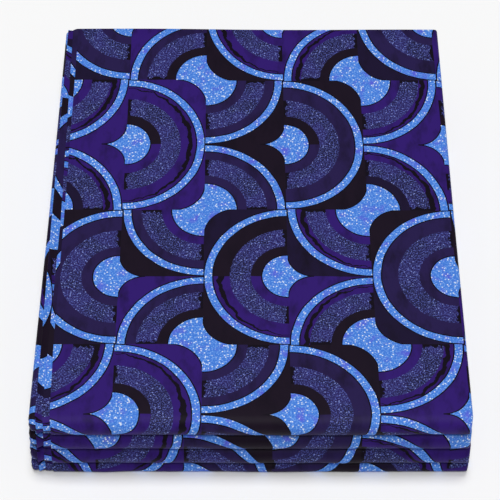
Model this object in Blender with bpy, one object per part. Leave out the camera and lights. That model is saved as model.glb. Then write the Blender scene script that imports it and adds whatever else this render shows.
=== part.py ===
"""A cut length of printed cotton, folded in four across its width and then back and forth
into a flat stack. Every layer here stands for two thicknesses of the cloth pressed together."""

import math
from collections import namedtuple

import bmesh
import bpy
from mathutils import Vector

MM = 0.001

# Driving sizes. X runs across the cloth, -Y is the front with the folds that show, +Z is up.
DEPTH = 353.6 * MM
PANEL_GAP = 0.45 * MM
ACROSS_POINTS = (-50 * MM, 50 * MM)
ALONG_POINTS = (89 * MM, -3 * MM, -107 * MM)
CORNER_ROUND = 1.0 * MM
LAYER_END_BULGE = 0.3 * MM
SPLAY = 0.2 / MM
SWELL = 0.6 * MM
SWELL_ACROSS = 210 * MM
SWELL_ALONG = 290 * MM
SWELL_SHIFT = 0.8

# The closed fold on the right is shallower and squarer than a half circle
FOLD_SQUEEZE = 0.6
FOLD_SQUARENESS = 0.75

# Steps in each round part
FRONT_TURN_STEPS = 8
BACK_TURN_STEPS = 6
OUTER_FOLD_STEPS = 6
INNER_FOLD_STEPS = 4
SLIT_STEPS = 2

# Where the layers end, at four places along the stack. The stack leans out to the left at the
# front. On the right is the closed fold, on the left each lower layer reaches out further.
Edges = namedtuple("Edges", "along right top second third fold")
EDGES = (
    Edges(176.8, 145.0, -127.4, -131.6, -135.3, -137.0),
    Edges(-3.0, 146.5, -131.3, -133.6, -140.0, -142.7),
    Edges(-107.0, 147.5, -134.1, -137.6, -142.4, -146.7),
    Edges(-174.6, 148.2, -134.4, -139.6, -144.3, -149.0),
)

# The panels from the top one down. The lowest two are pressed thin by the others' weight.
Panel = namedtuple("Panel", "layer slit out_left out_right")
PANELS = (
    Panel(1.76, 0.52, 0.0, 0.0),
    Panel(1.74, 0.52, 0.3, 0.3),
    Panel(1.75, 0.52, 0.8, 1.0),
    Panel(1.76, 0.52, 0.9, 1.1),
    Panel(1.76, 0.52, 1.3, 2.0),
    Panel(1.74, 0.52, 1.4, 2.1),
    Panel(1.00, 0.39, 1.2, 2.2),
    Panel(1.00, 0.39, 1.2, 2.2),
)

# How far each edge of the panels sits in from the stack's reach: the top panel's own back edge,
# the seven turns by turns at the front and the back, and the bottom panel's back edge
Turn = namedtuple("Turn", "place set_back")
TURNS = (
    Turn("back", 0.0),
    Turn("front", 0.0),
    Turn("back", 1.2),
    Turn("front", 0.2),
    Turn("back", 0.4),
    Turn("front", 0.0),
    Turn("back", 1.6),
    Turn("front", 1.4),
    Turn("back", 0.8),
)

CLOTH_COLOUR = (0.045, 0.03, 0.16, 1.0)
CLOTH_ROUGHNESS = 0.6

# A cut through the cloth: start is on its printed outer side, inward leads through its layers
Station = namedtuple("Station", "start inward edges layer slit round_in")


def blend(a, b, share):
    return a + (b - a) * share


def blend_rows(a, b, share):
    return type(a)(*(blend(x, y, share) for x, y in zip(a, b)))


def thickness(panel):
    return 4 * panel.layer + 3 * panel.slit


def edges_at(y, panel):
    """The layers' edges at a place along the stack, for a panel that reaches out a little."""
    y_mm = max(min(y / MM, EDGES[0].along), EDGES[-1].along)
    for back, front in zip(EDGES, EDGES[1:]):
        if y_mm >= front.along:
            row = blend_rows(back, front, (back.along - y_mm) / (back.along - front.along))
            break
    left = (row.top, row.second, row.third, row.fold)
    return Edges(
        y,
        (row.right + panel.out_right) * MM,
        *((x - panel.out_left) * MM for x in left),
    )


def arc(centre, radius, start, end, steps):
    """The points of an arc in the plane across the cloth, without its last one."""
    points = []
    for i in range(steps):
        turn = math.radians(blend(start, end, i / steps))
        points.append((centre[0] + radius * math.cos(turn), centre[1] + radius * math.sin(turn)))
    return points


def pressed_arc(centre, radius, start, end, steps):
    """A closed fold in the same way, pressed flatter and squarer than a half circle."""
    points = []
    for x, depth in arc((0, 0), 1.0, start, end, steps):
        out = FOLD_SQUEEZE * radius * abs(x) ** FOLD_SQUARENESS
        down = radius * math.copysign(abs(depth) ** FOLD_SQUARENESS, depth)
        points.append((centre[0] + out, centre[1] + down))
    return points


def run(start, end, depth):
    """A straight face from start towards end, without its last point."""
    between = sorted(ACROSS_POINTS, reverse=end < start)
    return [(start, depth)] + [(x, depth) for x in between]


def cut_across(edges, layer, slit):
    """The outline of the four joined layers as (x, depth into the cloth) pairs, in order. Past the
    second edge the lower layers spring up, so that the fold on the left is wider than a pressed one."""
    full = 4 * layer + 3 * slit
    middle = full / 2
    right = edges.right - FOLD_SQUEEZE * middle
    right_fold = (right, middle)
    slope = SPLAY * layer
    sprung = layer + slit / 2 + slope * (edges.second - edges.fold) / 2
    left_radius = sprung / (1 + slope / 2)
    left = edges.fold + left_radius
    left_fold = (left, full - left_radius)
    rise = slope * (edges.second - edges.third)
    end_middle = 1.5 * layer + slit - rise

    outline = run(edges.top, right, 0)
    outline += pressed_arc(right_fold, middle, -90, 90, OUTER_FOLD_STEPS)
    outline += run(right, left, full)
    outline += arc(left_fold, left_radius, 90, 270, INNER_FOLD_STEPS)
    outline += [(left, full - 2 * left_radius)]
    outline += run(edges.second, right, 2 * layer + 2 * slit)
    outline += pressed_arc(right_fold, slit / 2, 90, -90, SLIT_STEPS)
    outline += run(right, edges.second, 2 * layer + slit)
    outline += [(edges.second, 2 * layer + slit), (edges.third, 2 * layer + slit - rise)]
    outline += [(edges.third - LAYER_END_BULGE, end_middle), (edges.third, layer + slit - rise)]
    outline += run(edges.second, right, layer + slit)
    outline += pressed_arc(right_fold, layer + slit / 2, -90, 90, INNER_FOLD_STEPS)
    outline += run(right, edges.second, 3 * layer + 2 * slit)
    outline += [(edges.second, 3 * layer + 2 * slit)]
    outline += arc(left_fold, left_radius - layer, 270, 90, INNER_FOLD_STEPS)
    outline += run(left, right, 3 * layer + 3 * slit)
    outline += pressed_arc(right_fold, layer + 1.5 * slit, 90, -90, OUTER_FOLD_STEPS)
    outline += run(right, edges.second, layer)
    outline += [(edges.second, layer), (edges.second, layer / 2), (edges.top, layer / 2)]
    return outline


def panel_floors():
    """The height of each panel's underside, from the top panel down."""
    floors = []
    height = 0.0
    for panel in reversed(PANELS):
        floors.insert(0, height)
        height += thickness(panel) * MM + PANEL_GAP
    return floors


def turn_centre(index):
    """Where a turn or an end has the middle of its curve, along the stack."""
    turn = TURNS[index]
    reach = DEPTH / 2 - turn.set_back * MM
    joined = PANELS[max(index - 1, 0):index + 1]
    if len(joined) == 2:
        reach -= max(thickness(panel) for panel in joined) * MM + PANEL_GAP / 2
    return reach if turn.place == "back" else -reach


def flat_stations(index, floor):
    """The cuts along one panel. The outer side is up on every other panel."""
    panel = PANELS[index]
    face_up = index % 2 == 0
    start, end = turn_centre(index), turn_centre(index + 1)
    top = floor + thickness(panel) * MM
    between = sorted(ALONG_POINTS, reverse=face_up)
    for y in (start, *between, end):
        yield Station(
            Vector((0, y, top if face_up else floor)),
            Vector((0, 0, -1 if face_up else 1)),
            edges_at(y, panel), panel.layer * MM, panel.slit * MM, 0.0,
        )


def turn_stations(index, floor):
    """The cuts round the turn below a panel. At the front the printed side is outermost."""
    above, below = PANELS[index], PANELS[index + 1]
    at_front = TURNS[index + 1].place == "front"
    centre = Vector((0, turn_centre(index + 1), floor - PANEL_GAP / 2))
    steps = FRONT_TURN_STEPS if at_front else BACK_TURN_STEPS
    for i in range(1, steps):
        share = i / steps
        panel = blend_rows(above, below, share)
        angle = math.pi * share
        outward = Vector((0, math.sin(angle) * (-1 if at_front else 1), math.cos(angle)))
        reach = PANEL_GAP / 2 + (thickness(panel) * MM if at_front else 0)
        yield Station(
            centre + outward * reach,
            -outward if at_front else outward,
            edges_at(centre.y, panel), panel.layer * MM, panel.slit * MM,
            CORNER_ROUND * math.sin(angle),
        )


def swell(x, y):
    """The slight rise and fall of the top, which dies away towards the floor."""
    across = math.sin(2 * math.pi * x / SWELL_ACROSS + SWELL_SHIFT)
    along = math.cos(2 * math.pi * y / SWELL_ALONG)
    return SWELL * across * along


def ring_points(station, height):
    """One cut's outline in space."""
    edges = station.edges
    middle = (edges.right + edges.fold) / 2
    narrow = 1 - station.round_in * 2 / (edges.right - edges.fold)
    for x, depth in cut_across(edges, station.layer, station.slit):
        point = station.start + station.inward * depth
        point.x = middle + (x - middle) * narrow
        point.z += swell(point.x, point.y) * point.z / height
        yield point


def skin(cloth, ring, following):
    """Joins two cuts. Each four-sided patch is split from its left front to its right back corner,
    alike on both faces of a slit, so that the swell can't make them touch."""
    for i, b in enumerate(ring):
        a, c, d = ring[i - 1], following[i], following[i - 1]
        reach_ac = abs(a.co.x + a.co.y - c.co.x - c.co.y)
        reach_bd = abs(b.co.x + b.co.y - d.co.x - d.co.y)
        halves = ((a, b, c), (a, c, d)) if reach_ac > reach_bd else ((a, b, d), (b, c, d))
        for half in halves:
            cloth.faces.new(half)


def folded_cloth():
    """The whole cloth as one closed body, swept along its path back and forth."""
    floors = panel_floors()
    height = floors[0] + thickness(PANELS[0]) * MM
    stations = []
    for index, floor in enumerate(floors):
        stations += flat_stations(index, floor)
        if index + 1 < len(PANELS):
            stations += turn_stations(index, floor)

    cloth = bmesh.new()
    rings = [[cloth.verts.new(p) for p in ring_points(s, height)] for s in stations]
    for ring, following in zip(rings, rings[1:]):
        skin(cloth, ring, following)
    ends = [cloth.faces.new(rings[0]), cloth.faces.new(rings[-1])]
    bmesh.ops.recalc_face_normals(cloth, faces=cloth.faces)
    bmesh.ops.triangulate(cloth, faces=ends)
    return cloth


def centre_over_origin(cloth):
    """Puts the middle of the base at the origin."""
    for axis in (0, 1):
        places = [vert.co[axis] for vert in cloth.verts]
        shift = (min(places) + max(places)) / 2
        for vert in cloth.verts:
            vert.co[axis] -= shift


def cotton():
    material = bpy.data.materials.new("printed_cotton")
    material.use_nodes = True
    shader = material.node_tree.nodes["Principled BSDF"]
    shader.inputs["Base Color"].default_value = CLOTH_COLOUR
    shader.inputs["Roughness"].default_value = CLOTH_ROUGHNESS
    shader.inputs["Metallic"].default_value = 0.0
    return material


def main():
    for old in list(bpy.data.objects):
        bpy.data.objects.remove(old, do_unlink=True)
    cloth = folded_cloth()
    centre_over_origin(cloth)
    mesh = bpy.data.meshes.new("folded_cloth")
    cloth.to_mesh(mesh)
    cloth.free()
    mesh.shade_smooth()
    mesh.set_sharp_from_angle(angle=math.radians(50))
    mesh.materials.append(cotton())
    bpy.context.collection.objects.link(bpy.data.objects.new("folded_cloth", mesh))


main()
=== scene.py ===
# A folded length of ankara, which is wax-printed cotton, on a pale studio floor.
# Blender's metres outside, millimetres in the dictionaries. -Y is the front, Z is up.
import math
from collections import namedtuple
from functools import partial

import bmesh
import bpy
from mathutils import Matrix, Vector, noise


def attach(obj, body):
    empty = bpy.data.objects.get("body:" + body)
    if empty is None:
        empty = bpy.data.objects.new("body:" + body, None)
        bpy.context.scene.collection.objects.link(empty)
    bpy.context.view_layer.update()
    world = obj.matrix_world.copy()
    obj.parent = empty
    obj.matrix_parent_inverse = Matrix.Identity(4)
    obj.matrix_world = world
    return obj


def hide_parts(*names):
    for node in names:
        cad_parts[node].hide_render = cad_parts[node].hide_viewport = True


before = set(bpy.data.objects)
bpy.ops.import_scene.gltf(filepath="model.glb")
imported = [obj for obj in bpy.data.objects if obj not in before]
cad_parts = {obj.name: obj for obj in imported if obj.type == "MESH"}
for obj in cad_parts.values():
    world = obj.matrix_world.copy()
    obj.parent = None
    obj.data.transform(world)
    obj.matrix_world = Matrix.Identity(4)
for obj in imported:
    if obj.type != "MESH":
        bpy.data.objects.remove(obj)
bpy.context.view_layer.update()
mm = 0.001

# How the cloth is folded. Eight plies lie on each other in every panel: the length is doubled
# end to end, then folded in four across, and the band goes back and forth in eight panels.
folding = {
    "depth": 353.6,          # from the front folds to the back ones
    "panelGap": 0.45,        # air between two panels
    "clothThickness": 0.4,
    "plies": 8,              # in each panel
    "cornerRound": 1.0,      # the turns are a little narrower than the panels
    "foldSqueeze": 0.6,      # the closed fold on the right is shallower and squarer than a half circle
    "foldSquareness": 0.75,
    "leftSpring": 0.041,     # how the fold on the left springs open, for each mm of a panel
    "springRounds": 4,       # steps in which the size of that fold settles
    "swell": 0.6,            # slow rise and fall of the top
    "swellAcross": 210,
    "swellAlong": 290,
    "swellShift": 0.8,
    # soft creases of the top: x, y, heading in degrees, half length, half width, height
    "creases": (
        (-62, 38, 84, 105, 10, 0.22),
        (74, -66, 97, 85, 13, -0.2),
        (18, 118, 6, 120, 11, 0.18),
    ),
    "ripple": 0.5,           # unevenness of the turns, and how long its waves are
    "rippleLength": 22,
    # y, then x of the closed right fold, of the plies' left ends and of the fold on the left
    "edges": (
        (176.8, 145.0, -127.4, -131.6, -135.3, -137.0),
        (-3.0, 146.5, -131.3, -133.6, -140.0, -142.7),
        (-107.0, 147.5, -134.1, -137.6, -142.4, -146.7),
        (-174.6, 148.2, -134.4, -139.6, -144.3, -149.0),
    ),
    # each panel's thickness and how far it reaches out at the left and the right, from the top
    "panels": (
        (8.60, 0.0, 0.0),
        (8.52, 0.3, 0.3),
        (8.56, 0.8, 1.0),
        (8.60, 0.9, 1.1),
        (8.60, 1.3, 2.0),
        (8.52, 1.4, 2.1),
        (5.17, 1.2, 2.2),
        (5.17, 1.2, 2.2),
    ),
    # how far each turn stays back, from the top panel's back edge to the bottom panel's
    "turns": (
        ("back", 0.0), ("front", 0.0), ("back", 1.2), ("front", 0.2), ("back", 0.4),
        ("front", 0.0), ("back", 1.6), ("front", 1.4), ("back", 0.8),
    ),
    # mm by which the print has crept in each hidden panel, along the cloth and across it
    "printCreep": ((0, 0), (0, 11.7), (-24.6, 0), (0, 0), (-10, 0), (0, 0), (-2.4, 0), (0, 0)),
    "topRows": 40,           # mesh rows and columns
    "panelRows": 12,
    "frontTurnRows": 12,
    "backTurnRows": 10,
    "loopRows": 4,
    "topColumns": 44,
    "plyColumns": 8,
    "foldColumns": 8,
    "innerFoldColumns": 6,
    "edgeColumns": (0, 2.5, 5, 8, 12),  # mm from a woven edge
    "nearFoldColumns": (0, 2, 4, 6, 8, 10),  # mm from the fold on the left
    "sharpAngle": 60,        # degrees between faces, over which an edge stays crisp
}

# Where the print lies on the top ply, and how the cloth is drawn in there
printing = {
    "tile": 58.6,            # one square of the design
    "column": 2.2,           # column and row of the design at this x and y
    "columnX": 38.3,
    "row": 2.5,
    "rowY": -25.1,
    "drawnIn": 0.0096,       # narrower towards the back
    "drawnAlong": 0.0117,
    "drawnReach": 3.2,       # in tiles, as far as that grows
    "stillColumn": 2.0,
    "stillRow": 2.5,
}

# Where the OFBake coordinates keep each part of the cloth in a flat picture of its colours: the
# top and the front folds get most of it. A part is a panel or, with a half, the turn below it.
baking = {
    "columns": (0.0, 0.74),
    "rows": {0: (0.1, 0.9), 0.5: (0.0, 0.1), 2.5: (0.905, 0.935), 4.5: (0.937, 0.967), 6.5: (0.969, 1.0)},
    "rest": ((0.75, 1.0), (0.31, 1.0)),
    "underside": ((0.75, 1.0), (0.0, 0.3)),
}

Row = namedtuple("Row", "y z inY inZ thick right first second third fold bulge along drift part share")


def blend(a, b, share):
    return a + (b - a) * share


def smooth(share):
    share = max(0.0, min(1.0, share))
    return share * share * (3 - 2 * share)


def panelFloors():
    floors, height = [], 0.0
    for thick, *_ in reversed(folding["panels"]):
        floors.insert(0, height)
        height += thick + folding["panelGap"]
    return floors


def turnCentre(index):
    place, setBack = folding["turns"][index]
    reach = folding["depth"] / 2 - setBack
    joined = folding["panels"][max(index - 1, 0):index + 1]
    if len(joined) == 2:
        reach -= max(thick for thick, *_ in joined) + folding["panelGap"] / 2
    return reach if place == "back" else -reach


def edgesAt(y, outLeft, outRight):
    rows = folding["edges"]
    y = max(min(y, rows[0][0]), rows[-1][0])
    back, front = next((a, b) for a, b in zip(rows, rows[1:]) if y >= b[0])
    share = (back[0] - y) / (back[0] - front[0])
    right, *left = (blend(a, b, share) for a, b in zip(back[1:], front[1:]))
    return [right + outRight] + [x - outLeft for x in left]


# The cuts across the folded band, from the top panel's back edge to its cut end
def layerRows():
    floors = panelFloors()
    panels = folding["panels"]
    gap = folding["panelGap"]
    along = printing["row"] * printing["tile"] + printing["rowY"] - turnCentre(0)
    drift = 0
    for index, (thick, *out) in enumerate(panels):
        faceUp = index % 2 == 0
        start, end = turnCentre(index), turnCentre(index + 1)
        steps = folding["topRows"] if index == 0 else folding["panelRows"]
        z = floors[index] + (thick if faceUp else 0)
        creep, driftOn = folding["printCreep"][index]
        length = abs(end - start) + creep
        for i in range(steps + 1):
            share = i / steps
            y = blend(start, end, share)
            edges = edgesAt(y, *out)
            here = along + length * share, drift + driftOn * share
            yield Row(y, z, 0, -1 if faceUp else 1, thick, *edges, 0, *here, index, share)
        along += length
        drift += driftOn
        if index + 1 == len(panels):
            return
        atFront = folding["turns"][index + 1][0] == "front"
        steps = folding["frontTurnRows"] if atFront else folding["backTurnRows"]
        arc = math.pi * (gap / 2 + thick)
        for i in range(1, steps):
            share = i / steps
            turnThick, *turnOut = (blend(a, b, share) for a, b in zip(panels[index], panels[index + 1]))
            outY = math.sin(math.pi * share) * (-1 if atFront else 1)
            outZ = math.cos(math.pi * share)
            reach = gap / 2 + (turnThick if atFront else 0)
            inward = -1 if atFront else 1
            yield Row(
                end + outY * reach, floors[index] - gap / 2 + outZ * reach, outY * inward, outZ * inward,
                turnThick, *edgesAt(end, *turnOut), math.sin(math.pi * share),
                along + arc * share, drift, index + 0.5, share,
            )
        along += arc


# A point of the closed fold, from its top round to its bottom when the radius is positive
def pressedPoint(x, depth, radius, turn):
    out = abs(radius) * math.sin(turn) ** folding["foldSquareness"]
    down = radius * math.copysign(abs(math.cos(turn)) ** folding["foldSquareness"], math.cos(turn))
    return x + folding["foldSqueeze"] * out, depth - down


def spreadMarks(start, end, count, nearStart=(0,)):
    sign = 1 if end > start else -1
    marks = [start + sign * step for step in nearStart]
    return marks[:-1] + [blend(marks[-1], end, i / count) for i in range(count)]


# From the middle of one ply to the middle of the next
def plyPitch(row):
    return (row.thick - folding["clothThickness"]) / (folding["plies"] - 1)


# The points of one layer in a cut, as (x, depth below the outer ply, way along the cut)
def cutMarks(row, plies, firstEnd):
    cloth = folding["clothThickness"]
    pitch = plyPitch(row)
    depths = [cloth / 2 + (ply - 1) * pitch for ply in plies]
    middle = row.thick / 2
    rightX = row.right - folding["foldSqueeze"] * middle
    fifth = cloth / 2 + 4 * pitch
    radius = middle / 2
    for _ in range(folding["springRounds"]):
        lift = folding["leftSpring"] * row.thick * (row.second - row.fold - radius)
        radius = (row.thick - fifth + cloth / 2 + lift) / 2
    leftX = row.fold + radius
    leftRadius = radius - (row.thick - depths[1])
    lift = fifth - (row.thick - 2 * radius + cloth / 2)

    def risen(x, depth):
        return depth - lift * smooth((row.second - x) / (row.second - leftX))

    columns, folds = folding["plyColumns"], folding["foldColumns"]
    edge = folding["edgeColumns"]
    marks = [(x, depths[0]) for x in spreadMarks(firstEnd, rightX, folding["topColumns"], edge)]
    outer = middle - depths[0]
    for i in range(folds):
        marks.append(pressedPoint(rightX, middle, outer, math.pi * i / folds))
    marks += [(x, depths[1]) for x in spreadMarks(rightX, leftX, columns)]
    for i in range(folds):
        turn = math.pi * i / folds
        marks.append((leftX - leftRadius * math.sin(turn), row.thick - radius + leftRadius * math.cos(turn)))
    nearFold = folding["nearFoldColumns"]
    marks += [(x, risen(x, depths[2])) for x in spreadMarks(leftX, rightX, columns, nearFold)]
    inner = depths[2] - middle
    for i in range(folding["innerFoldColumns"]):
        turn = math.pi * i / folding["innerFoldColumns"]
        marks.append(pressedPoint(rightX, middle, -inner, turn))
    back = spreadMarks(row.third, rightX, columns, edge) + [rightX]
    marks += [(x, risen(x, depths[3])) for x in reversed(back)]

    way = printing["column"] * printing["tile"] + marks[0][0] - printing["columnX"] + row.drift
    cut = []
    for i, mark in enumerate(marks):
        if i:
            way += math.dist(mark, marks[i - 1])
        cut.append((*mark, way))
    return cut


def outerCut(row):
    return cutMarks(row, (1, 8, 5, 4), row.first)


def innerCut(row):
    return cutMarks(row, (2, 7, 6, 3), row.second)


def swell(x, y):
    across = math.sin(2 * math.pi * x / folding["swellAcross"] + folding["swellShift"])
    rise = folding["swell"] * across * math.cos(2 * math.pi * y / folding["swellAlong"])
    for creaseX, creaseY, heading, halfLength, halfWidth, height in folding["creases"]:
        turn = math.radians(heading)
        ahead = (x - creaseX) * math.cos(turn) + (y - creaseY) * math.sin(turn)
        aside = (y - creaseY) * math.cos(turn) - (x - creaseX) * math.sin(turn)
        rise += height * math.exp(-((ahead / halfLength) ** 2) - (aside / halfWidth) ** 2)
    return rise


def placed(row, mark, height, push=0.0):
    x, depth, _ = mark
    middle = (row.right + row.fold) / 2
    x = middle + (x - middle) * (1 - 2 * folding["cornerRound"] * row.bulge / (row.right - row.fold))
    ripple = folding["ripple"] * row.bulge * noise.noise(Vector((x / folding["rippleLength"], row.part, 0)))
    y = row.y + row.inY * depth + push + ripple
    z = row.z + row.inZ * depth
    z += swell(x, y) * z / height
    return Vector((x, y, z)) * mm


def printPlace(way, along):
    tile = printing["tile"]
    column = way / tile - printing["stillColumn"]
    row = along / tile - printing["stillRow"]
    reach = printing["drawnReach"]
    nearColumn = max(-reach, min(reach, column))
    nearRow = max(-reach, min(reach, row))
    column -= printing["drawnIn"] * nearColumn * nearRow
    row += printing["drawnAlong"] * nearRow * nearRow
    return (column + printing["stillColumn"]) * tile * mm, (row + printing["stillRow"]) * tile * mm


def foldedCloth():
    rows = list(layerRows())
    height = rows[0].z
    grid = []
    for row in reversed(rows):
        cut = outerCut(row)
        grid.append([(placed(row, mark, height), printPlace(mark[2], row.along)) for mark in cut])
    top = rows[0]
    pitch = plyPitch(top)
    for i in range(1, folding["loopRows"]):
        share = (1 - math.cos(math.pi * i / folding["loopRows"])) / 2
        push = pitch / 2 * math.sin(math.pi * i / folding["loopRows"])
        pairs = zip(outerCut(top), innerCut(top))
        marks = [tuple(blend(a, b, share) for a, b in zip(*pair)) for pair in pairs]
        along = top.along - pitch * math.pi / 2 * i / folding["loopRows"]
        grid.append([(placed(top, mark, height, push), printPlace(mark[2], along)) for mark in marks])
    for row in rows:
        along = 2 * top.along - pitch * math.pi / 2 - row.along
        grid.append([(placed(row, mark, height), printPlace(mark[2], along)) for mark in innerCut(row)])

    outer = rows[::-1]
    columns = len(grid[0])
    topColumns = folding["topColumns"] + len(folding["edgeColumns"]) - 1 + folding["foldColumns"]
    cloth = bmesh.new()
    printLayer = cloth.loops.layers.uv.new("Print")
    bakeLayer = cloth.loops.layers.uv.new("OFBake")
    bmesh.ops.create_grid(cloth, x_segments=columns - 1, y_segments=len(grid) - 1, size=1)
    places = [spot for line in grid for spot in line]
    for vert, (place, _) in zip(cloth.verts, places):
        vert.co = place
    for face in cloth.faces:
        spots = [divmod(loop.vert.index, columns) for loop in face.loops]
        line, column = map(min, zip(*spots))
        parts = [row.part for row in outer[line:line + 2]] if column < topColumns else []
        part = next((part for part in parts if part % 1), min(parts, default=None))
        for loop, (j, i) in zip(face.loops, spots):
            loop[printLayer].uv = places[loop.vert.index][1]
            if part in baking["rows"] and len(parts) == 2:
                start, here, end = (places[j * columns + k][1][0] for k in (0, i, topColumns))
                share = outer[j].share if outer[j].part == part else float(outer[j].part > part)
                across = blend(*baking["columns"], (here - start) / (end - start))
                loop[bakeLayer].uv = across, blend(*baking["rows"][part], share)
            else:
                shares = i / (columns - 1), j / (len(grid) - 1)
                loop[bakeLayer].uv = [blend(*span, share) for span, share in zip(baking["rest"], shares)]
    cloth.normal_update()
    for vert in cloth.verts:
        vert.co += vert.normal * folding["clothThickness"] / 2 * mm
    upper = set(cloth.faces)
    whole = cloth.verts[:] + cloth.edges[:] + cloth.faces[:]
    bmesh.ops.solidify(cloth, geom=whole, thickness=folding["clothThickness"] * mm)
    for face in set(cloth.faces) - upper:
        for loop in face.loops:
            uv = loop[bakeLayer].uv
            loop[bakeLayer].uv = [blend(*span, share) for span, share in zip(baking["underside"], uv)]
    mesh = bpy.data.meshes.new("cloth")
    cloth.to_mesh(mesh)
    cloth.free()
    mesh.shade_smooth()
    mesh.set_sharp_from_angle(angle=math.radians(folding["sharpAngle"]))
    made = bpy.data.objects.new("cloth", mesh)
    bpy.context.collection.objects.link(made)
    return made


def hexColour(code):
    parts = [int(code[i:i + 2], 16) / 255 for i in (0, 2, 4)]
    return (*(c / 12.92 if c <= 0.04045 else ((c + 0.055) / 1.055) ** 2.4 for c in parts), 1.0)


def addNode(tree, kind, *inputs, **settings):
    made = tree.nodes.new("ShaderNode" + kind)
    for name, value in settings.items():
        setattr(made, name, value)
    sockets = [socket for socket in made.inputs if socket.enabled]
    for socket, value in zip(sockets, inputs):
        if isinstance(value, bpy.types.NodeSocket):
            tree.links.new(value, socket)
        elif value is not None:
            socket.default_value = hexColour(value) if isinstance(value, str) else value
    return next(socket for socket in made.outputs if socket.enabled)


# The design is a scale pattern of quarter arcs, one to a tile. Radii are shares of a tile, for
# the tiles whose arcs meet in a drop and for those whose arcs meet in an axe.
design = {
    "bands": (
        ("disc", 0.31, 0.40),
        ("inner", 0.44, 0.52),
        ("speckled", 0.69, 0.765),
        ("outer", 0.89, 0.885),
        ("arc", 0.995, 0.99),
    ),
    "lines": ("disc", "outer", "arc"),
    "lineWidth": 0.008,
    "corner": (0.31, 0.38),
    "wobble": 0.012,         # how unsteady the printed edges are, and the grain of that
    "wobbleGrain": (5.0, 2.0),
    "stroke": (0.80, 0.86),  # a dark brush stroke drifts through the outer band between these radii
    "strokeWidth": (0.032, 0.004),
    "strokeWobble": 0.05,
    "strokeBlue": 0.1,       # only in the purple bands, whose blue is over this
    # the brushy patches: how they are drawn out, their grain and their span, as for the grains
    "patchStretch": (1.0, 0.45, 1.0),
    "patchGrain": (0.09, 4.0, 0.6),
    "patchSpan": (0.48, 0.72, 0.0, 0.65),
    # each grain: its texture, its scale for each mm with its detail and roughness, and its span,
    # which is where it starts and where it is whole, then what it gives there if not 0 and 1
    "grains": {
        "flecks": ("TexNoise", (0.85, 2.0, 0.6), (0.5, 0.62)),
        "mottle": ("TexNoise", (0.1, 3.0, 0.6), (0.52, 0.7)),
        "dots": ("TexVoronoi", (0.47,), (0.32, 0.12)),
        "shade": ("TexNoise", (0.05, 2.0, 0.5), (0.42, 0.58)),
        "specks": ("TexNoise", (1.0, 2.0, 0.7), (0.5, 0.64)),
        "pinpricks": ("TexVoronoi", (0.42,), (0.22, 0.1)),
        "strokeEdge": ("TexNoise", (0.12, 3.0), (0.3, 0.7, -0.5, 0.5)),
        # the speckled bands stop short of the tile's sides, raggedly
        "speckledGap": ("TexNoise", (0.3, 2.0), (0.4, 0.6, 0.02, 0.055)),
    },
    "mottleDepth": 0.75,
    # the ground colours in a repeat of four by four tiles, as charted
    "repeat": 4,
    "grounds": {
        "outer": ("pssp", "pssp", "skps", "spps"),
        "inner": ("kskp", "pssd", "pkps", "kpks"),
        "spandrel": ("pkkp", "pkkp", "kddk", "pkpd"),
    },
    "palette": {"p": "311a6c", "s": "271d4a", "k": "1b1220", "d": "1c1430"},
    "azure": "4179d6",
    "azureLight": "79aaf0",
    "dot": "eaf4ff",
    "violet": "5a50d0",
    "speckBase": "1d1838",
    "speckBaseLight": "282056",
    "speck": "5a65b4",
    "speckDot": "8b9ae0",
    "line": "120c18",
    "threads": 1.6,
    "threadHeight": 0.12,
    "threadStrength": 0.3,
    "roughness": 0.5,
    "shine": 0.06,
}


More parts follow.
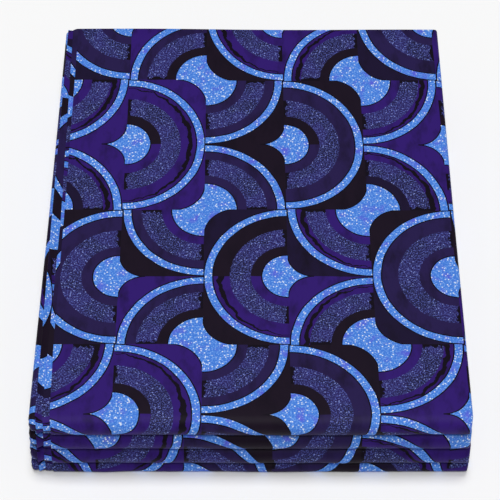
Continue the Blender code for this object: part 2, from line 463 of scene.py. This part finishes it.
# Cotton with a trace of wax: crisp and nearly matt, with a faint soft shine where it turns over
def printedCotton():
    material = bpy.data.materials.new("waxPrintedCotton")
    material.use_nodes = True
    tree = material.node_tree
    shader = tree.nodes["Principled BSDF"]
    put = partial(addNode, tree)

    cloth = put("UVMap", uv_map="Print")
    tiles = put("VectorMath", cloth, (1 / (printing["tile"] * mm),) * 3, operation="MULTIPLY")
    wobble = put("TexNoise", tiles, *design["wobbleGrain"])
    wobble = put("VectorMath", wobble.node.outputs["Color"], (0.5, 0.5, 0.5), operation="SUBTRACT")
    wobble = put("VectorMath", wobble, (design["wobble"], design["wobble"], 0.0), operation="MULTIPLY")
    tiles = put("VectorMath", tiles, wobble, operation="ADD")
    cell = put("VectorMath", tiles, operation="FLOOR")
    local = put("VectorMath", tiles, operation="FRACTION")
    column = put("SeparateXYZ", cell)
    row = column.node.outputs["Y"]
    repeat = design["repeat"]
    repeatColumn = put("Math", column, repeat, operation="FLOORED_MODULO")
    repeatRow = put("Math", row, repeat, operation="FLOORED_MODULO")
    oddColumn = put("Math", column, repeat / 2, operation="FLOORED_MODULO")

    # the corner that a tile's arcs are drawn round
    middleRow = (repeat - 1) / 2
    cornerX = put("Math", repeatRow, middleRow, operation="GREATER_THAN")
    flip = put("Math", repeatRow, middleRow, operation="SUBTRACT")
    flip = put("Math", flip, operation="ABSOLUTE")
    flip = put("Math", flip, 1.0, operation="GREATER_THAN")
    cornerY = put("Math", flip, oddColumn, operation="SUBTRACT")
    cornerY = put("Math", cornerY, operation="ABSOLUTE")
    corner = put("CombineXYZ", cornerX, cornerY, 0.0)
    away = put("VectorMath", local, corner, operation="SUBTRACT")
    away = put("VectorMath", away, operation="ABSOLUTE")
    away = put("VectorMath", away, (1.0, 1.0, 0.0), operation="MULTIPLY")
    radius = put("VectorMath", away, operation="LENGTH")
    awayX = put("SeparateXYZ", away)
    awayY = awayX.node.outputs["Y"]
    turn = put("Math", awayY, awayX, operation="ARCTAN2")
    turn = put("Math", turn, math.pi / 2, operation="DIVIDE")
    axe = put("Math", oddColumn, cornerX, operation="SUBTRACT")
    axe = put("Math", axe, operation="ABSOLUTE")

    # which tile of the repeat this is, and its ground colours
    which = put("Math", repeatRow, repeat, repeatColumn, operation="MULTIPLY_ADD")
    which = put("Math", which, 0.5, operation="ADD")
    which = put("Math", which, repeat * repeat, operation="DIVIDE")
    grounds = {}
    for name, letters in design["grounds"].items():
        grounds[name] = put("ValToRGB", which)
        ramp = grounds[name].node.color_ramp
        ramp.interpolation = "CONSTANT"
        letters = "".join(letters)
        for i, letter in enumerate(letters):
            stop = ramp.elements.new(i / len(letters)) if i else ramp.elements[0]
            stop.color = hexColour(design["palette"][letter])
        ramp.elements.remove(ramp.elements[-1])

    # the wax leaves darker, brushy patches in the plain fields
    fine = put("VectorMath", cloth, (1 / mm,) * 3, operation="MULTIPLY")
    patches = put("VectorMath", fine, design["patchStretch"], operation="MULTIPLY")
    patches = put("TexNoise", patches, *design["patchGrain"])
    patches = put("MapRange", patches, *design["patchSpan"])
    outerGround = grounds["outer"]
    for name in grounds:
        grounds[name] = put("Mix", patches, grounds[name], design["line"], data_type="RGBA")

    # dyed fields: light and dark flecks in the azure, and worm-like specks in the dark bands
    grain = {}
    for name, (texture, look, span) in design["grains"].items():
        grain[name] = put("MapRange", put(texture, fine, *look), *span)
    mottle = put("Math", grain["mottle"], design["mottleDepth"], operation="MULTIPLY")
    azure = put("Mix", grain["flecks"], design["azure"], design["azureLight"], data_type="RGBA")
    azure = put("Mix", mottle, azure, design["violet"], data_type="RGBA")
    azure = put("Mix", grain["dots"], azure, design["dot"], data_type="RGBA")
    speckled = put("Mix", grain["shade"], design["speckBase"], design["speckBaseLight"], data_type="RGBA")
    speckled = put("Mix", grain["specks"], speckled, design["speck"], data_type="RGBA")
    speckled = put("Mix", grain["pinpricks"], speckled, design["speckDot"], data_type="RGBA")
    across = put("Mix", axe, 1.0, awayY, data_type="FLOAT")
    ends = put("Math", awayX, across, operation="MINIMUM")
    ends = put("Math", ends, grain["speckledGap"], operation="GREATER_THAN")
    speckled = put("Mix", ends, design["line"], speckled, data_type="RGBA")

    # a dark brush stroke in the outer band, which drifts out and runs thin
    place = put("Mix", turn, *design["stroke"], data_type="FLOAT")
    place = put("Math", grain["strokeEdge"], design["strokeWobble"], place, operation="MULTIPLY_ADD")
    width = put("Mix", turn, *design["strokeWidth"], data_type="FLOAT")
    purple = put("SeparateColor", outerGround).node.outputs["Blue"]
    purple = put("Math", purple, design["strokeBlue"], operation="GREATER_THAN")
    width = put("Math", width, purple, operation="MULTIPLY")
    stroke = put("Math", radius, place, width, operation="COMPARE")
    outer = put("Mix", stroke, grounds["outer"], design["line"], data_type="RGBA")

    fills = {"disc": azure, "inner": grounds["inner"], "speckled": speckled, "outer": outer, "arc": azure}
    colour = grounds["spandrel"]
    edges = {}
    for name, drop, axeEdge in reversed(design["bands"]):
        edges[name] = put("Mix", axe, drop, axeEdge, data_type="FLOAT")
        inside = put("Math", radius, edges[name], operation="LESS_THAN")
        colour = put("Mix", inside, colour, fills[name], data_type="RGBA")
    for name in design["lines"]:
        near = put("Math", radius, edges[name], design["lineWidth"], operation="COMPARE")
        colour = put("Mix", near, colour, design["line"], data_type="RGBA")

    # the opposite corner, where the next tile's disc runs out in a point
    reach = put("Mix", axe, design["corner"][1], design["corner"][0], data_type="FLOAT")
    reachXY = put("CombineXYZ", reach, reach, 0.0)
    toCorner = put("VectorMath", (1.0, 1.0, 0.0), away, operation="SUBTRACT")
    hollow = put("VectorMath", reachXY, toCorner, operation="SUBTRACT")
    hollowParts = put("SeparateXYZ", hollow)
    least = put("Math", hollowParts, hollowParts.node.outputs["Y"], operation="MINIMUM")
    within = put("Math", least, 0.0, operation="GREATER_THAN")
    hollowLength = put("VectorMath", hollow, operation="LENGTH")
    beyond = put("Math", hollowLength, reach, operation="GREATER_THAN")
    beyond = put("Math", within, beyond, operation="MULTIPLY")
    colour = put("Mix", beyond, colour, azure, data_type="RGBA")
    rim = put("Math", hollowLength, reach, design["lineWidth"], operation="COMPARE")
    rim = put("Math", rim, within, operation="MULTIPLY")
    colour = put("Mix", rim, colour, design["line"], data_type="RGBA")

    # the threads lie about 0.35 mm apart, and are drawn 1.6 mm apart so that they show at all
    threads = put("VectorMath", fine, (2 * math.pi / design["threads"],) * 3, operation="MULTIPLY")
    threads = put("SeparateXYZ", put("VectorMath", threads, operation="SINE"))
    weave = put("Math", threads, threads.node.outputs["Y"], operation="MULTIPLY")
    bump = put("Bump", design["threadStrength"], design["threadHeight"] * mm)
    tree.links.new(weave, bump.node.inputs["Height"])

    tree.links.new(bump, shader.inputs["Normal"])
    tree.links.new(colour, shader.inputs["Base Color"])
    shader.inputs["Roughness"].default_value = design["roughness"]
    shader.inputs["Specular IOR Level"].default_value = design["shine"]
    return material


cloth = foldedCloth()
cloth.data.materials.append(printedCotton())
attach(cloth, "root")
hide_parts("folded_cloth")
print("cloth folded:", len(cloth.data.polygons), "faces")

# Studio: one pale floor that runs on past the view, a pale room, a high key light a little
# behind the stack and a weaker, wider light in front of it that reaches in between the folds
studio = {
    "floorSize": 4.0,
    "floorCells": 8,
    "floorColour": "f8f8f8",
    "floorRoughness": 0.9,
    "floorShine": 0.1,
    "roomColour": "ffffff",
    "roomStrength": 0.12,
    # how far each light leans to the front and its width, in degrees, then its strength
    "lights": (
        ("keyLight", -3.0, 13.0, 1.43),
        ("frontLight", 24.0, 18.0, 1.5),
    ),
}


# Matt painted board: it takes soft shadows and gives no shine
def studioFloor():
    work = bmesh.new()
    cells = studio["floorCells"]
    bmesh.ops.create_grid(work, x_segments=cells, y_segments=cells, size=studio["floorSize"])
    mesh = bpy.data.meshes.new("floor")
    work.to_mesh(mesh)
    work.free()
    floor = bpy.data.objects.new("floor", mesh)
    bpy.context.collection.objects.link(floor)
    material = bpy.data.materials.new("paintedBoard")
    material.use_nodes = True
    shader = material.node_tree.nodes["Principled BSDF"]
    shader.inputs["Base Color"].default_value = hexColour(studio["floorColour"])
    shader.inputs["Roughness"].default_value = studio["floorRoughness"]
    shader.inputs["Specular IOR Level"].default_value = studio["floorShine"]
    mesh.materials.append(material)
    return floor


studioFloor()

world = bpy.data.worlds.new("room")
world.use_nodes = True
background = world.node_tree.nodes["Background"]
background.inputs["Color"].default_value = hexColour(studio["roomColour"])
background.inputs["Strength"].default_value = studio["roomStrength"]
bpy.context.scene.world = world

for name, lean, width, strength in studio["lights"]:
    lamp = bpy.data.lights.new(name, "SUN")
    lamp.angle = math.radians(width)
    lamp.energy = strength
    lampObject = bpy.data.objects.new(name, lamp)
    lampObject.rotation_euler = (math.radians(lean), 0, 0)
    bpy.context.collection.objects.link(lampObject)

# Camera: a long lens in front of the stack and above it
view = {
    "lens": 158.4,
    "sensorWidth": 36.0,
    "place": (-0.0296, -0.9522, 1.3067),
    "turn": (36.561, -0.945, -0.59),
}
camera = bpy.data.cameras.new("camera")
camera.lens = view["lens"]
camera.sensor_width = view["sensorWidth"]
cameraObject = bpy.data.objects.new("camera", camera)
cameraObject.location = view["place"]
cameraObject.rotation_euler = [math.radians(angle) for angle in view["turn"]]
bpy.context.collection.objects.link(cameraObject)
bpy.context.scene.camera = cameraObject
bpy.context.scene.view_settings.view_transform = "Standard"
print("studio set")
